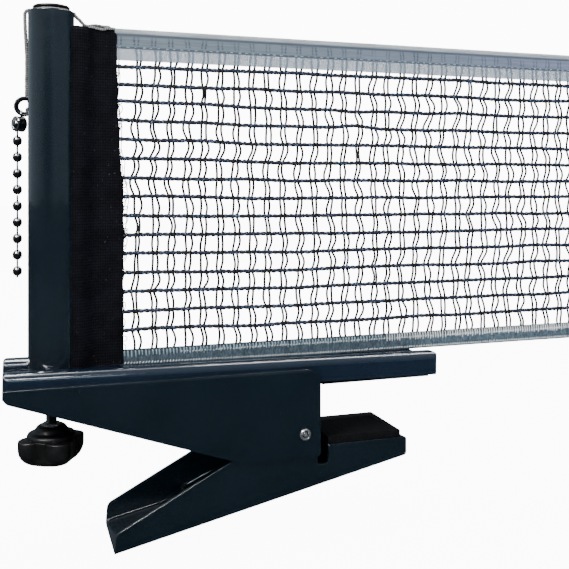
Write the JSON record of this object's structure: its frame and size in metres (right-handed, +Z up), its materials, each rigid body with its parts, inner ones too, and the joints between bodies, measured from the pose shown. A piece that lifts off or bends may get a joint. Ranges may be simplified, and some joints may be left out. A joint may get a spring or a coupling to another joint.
{
  "type": "table tennis net clamp",
  "caption": "Spring-jaw table clamp with a net post, height screw, tension cord, ring and ball chain, and the end of the net.",
  "frame": {"origin": "middle of the upper jaw's seat, on the table top under the net", "axes": "+X runs along the net toward the middle of the table, +Z up, -Y toward the side that shows the front cheek"},
  "size_m": [0.3107, 0.0454, 0.2398],
  "materials": {
    "painted_steel": "gloss",
    "bright_steel": "satin",
    "spring_steel": "oiled",
    "black_nickel": "polished",
    "pad_rubber": "matte",
    "black_plastic": "satin",
    "washer_nylon": "matte",
    "sleeve_cloth": "ribbed",
    "tape_cloth": "woven tape",
    "net_thread": "twisted thread",
    "foot_cloth": "stitched band",
    "hem_cloth": "woven tape",
    "cord_cotton": "braided cord"
  },
  "bodies": {
    "bracket": {"upper_arm": "painted_steel", "front_cheek": "painted_steel", "rear_cheek": "painted_steel", "seat_pad": "pad_rubber", "bridge_plate": "painted_steel", "weld_nut": "bright_steel", "post_guide": "bright_steel", "pivot_pin": "bright_steel", "pivot_cap": "bright_steel", "pivot_washers": "washer_nylon", "torsion_spring": "spring_steel"},
    "jaw": {"jaw_lever": "painted_steel", "jaw_pad": "pad_rubber", "pivot_bush": "bright_steel"},
    "post": {"post_tube": "painted_steel", "post_cap": "black_plastic", "post_plug": "bright_steel", "net_rod": "bright_steel", "end_sleeve": "sleeve_cloth", "top_tape": "tape_cloth", "net_mesh": "net_thread", "foot_band": "foot_cloth", "far_hem": "hem_cloth", "tension_cord": "cord_cotton", "ring_hook": "bright_steel", "split_ring": "black_nickel"},
    "knob": {"height_screw": "bright_steel", "adjust_knob": "black_plastic", "lock_nut": "bright_steel", "screw_clip": "spring_steel"},
    "connector": {"chain_connector": "black_nickel"},
    "chain_top": {"chain_upper": "black_nickel"},
    "chain_end": {"chain_lower": "black_nickel"}
  },
  "joints": [
    {"name": "jaw_pivot", "type": "hinge", "parent": "bracket", "child": "jaw", "pos_m": [-0.038, 0, -0.0213], "axis": [0, 1, 0], "range_deg": [-27, 18], "stiffness_Nm_per_rad": 1.5, "deforming": ["torsion_spring"]},
    {"name": "knob_turn", "type": "hinge", "parent": "post", "child": "knob", "pos_m": [-0.15, 0, -0.02], "axis": [0, 0, 1], "range_deg": [-724, 3610]},
    {"name": "post_lift", "type": "slide", "parent": "bracket", "child": "post", "axis": [0, 0, 1], "range_m": [-0.0016, 0.008]},
    {"name": "connector_swing", "type": "hinge", "parent": "post", "child": "connector", "pos_m": [-0.16249, 0.0086, 0.12551], "axis": [1, 0, 0], "range_deg": [-35, 35]},
    {"name": "chain_swing", "type": "hinge", "parent": "connector", "child": "chain_top", "pos_m": [-0.16409, 0.0086, 0.12095], "axis": [0, 1, 0], "range_deg": [-3, 40]},
    {"name": "chain_bend", "type": "hinge", "parent": "chain_top", "child": "chain_end", "pos_m": [-0.16409, 0.0086, 0.09179], "axis": [0, 1, 0], "range_deg": [-3, 40]}
  ],
  "couplings": [
    {"joint": "knob_turn", "follows": "post_lift", "rad_per_m": 7854}
  ]
}
